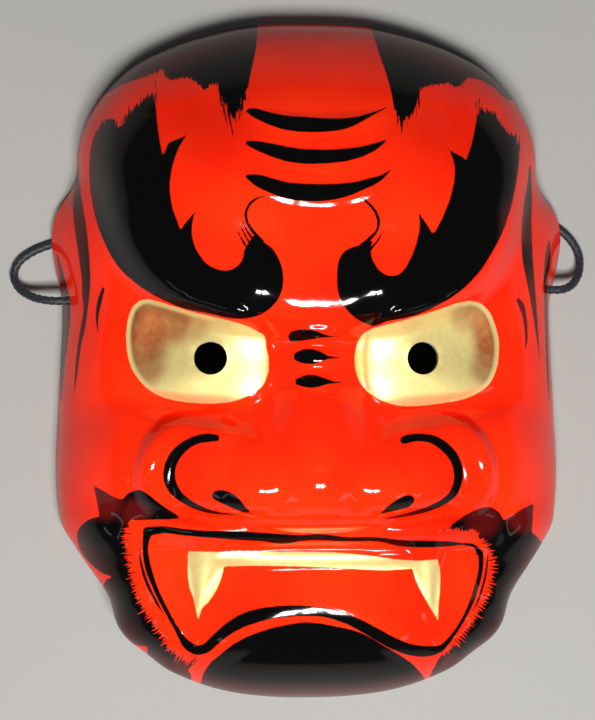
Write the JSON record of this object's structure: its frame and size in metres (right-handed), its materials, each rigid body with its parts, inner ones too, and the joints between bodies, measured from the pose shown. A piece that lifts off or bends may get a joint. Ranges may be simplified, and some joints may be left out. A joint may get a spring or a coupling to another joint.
{
  "type": "oni mask",
  "caption": "Hollow lacquered paper mask of a scowling heavy-browed demon face with bulging eyes, broad nose and fangs, lying face up, with a braided head cord through holes at the temples.",
  "frame": {"origin": "on the surface that the mask lies on, under the middle of the mask", "axes": "+Z is the way the face looks, up as the mask lies; +Y is towards the crown; +X is the right of the face as seen from the front"},
  "size_m": [0.1958, 0.23, 0.0807],
  "materials": {
    "lacquered_paper": "papier-mache under gloss orange-red lacquer, painted black and gold",
    "braided_cord": "matt black round braid"
  },
  "bodies": {
    "root": {"mask_shell": "lacquered_paper", "head_cord": "braided_cord", "cord_knot_left": "braided_cord", "cord_knot_right": "braided_cord"}
  },
  "joints": []
}
